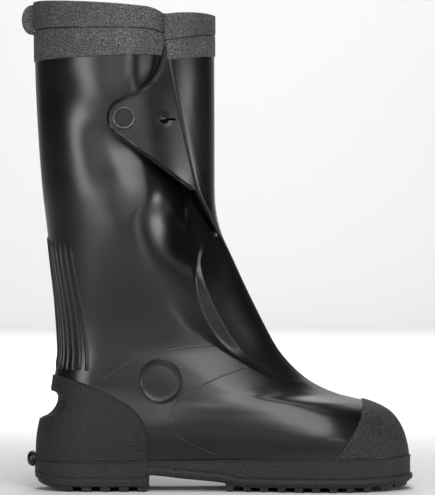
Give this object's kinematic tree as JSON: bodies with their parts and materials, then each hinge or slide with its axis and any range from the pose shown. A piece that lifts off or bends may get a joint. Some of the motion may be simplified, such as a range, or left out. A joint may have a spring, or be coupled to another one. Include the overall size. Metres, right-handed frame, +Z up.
{
  "type": "overshoe",
  "caption": "Tall black moulded PVC overshoe for the right foot, with a folded front held by a buttoned flap, a scooped heel and a cleated sole.",
  "frame": {"origin": "on the floor under the middle of the overshoe's box", "axes": "+X towards the toe, +Y towards the inner side of the right foot, +Z up"},
  "size_m": [0.3478, 0.1301, 0.4315],
  "materials": {
    "smooth_pvc": "smooth soft gloss, as moulded PVC",
    "grained_pvc": "fine pebbled grain, half matt"
  },
  "bodies": {
    "root": {"outsole": "grained_pvc", "upper": "smooth_pvc", "toe_cap": "grained_pvc", "heel_counter": "grained_pvc", "collar_band": "grained_pvc", "closing_flap": "smooth_pvc", "button_stud": "smooth_pvc", "ankle_disc": "smooth_pvc", "ankle_seam": "smooth_pvc", "vamp_seam": "smooth_pvc", "heel_knob": "smooth_pvc", "pull_tab": "grained_pvc", "rear_rib_01": "smooth_pvc", "rear_rib_02": "smooth_pvc", "rear_rib_03": "smooth_pvc", "rear_rib_04": "smooth_pvc", "rear_rib_05": "smooth_pvc", "rear_rib_06": "smooth_pvc", "rear_rib_07": "smooth_pvc", "rear_rib_08": "smooth_pvc", "rear_rib_09": "smooth_pvc", "rear_rib_10": "smooth_pvc", "rear_rib_11": "smooth_pvc", "rear_rib_12": "smooth_pvc", "rear_rib_13": "smooth_pvc", "rear_rib_14": "smooth_pvc", "rear_rib_15": "smooth_pvc"}
  },
  "joints": []
}
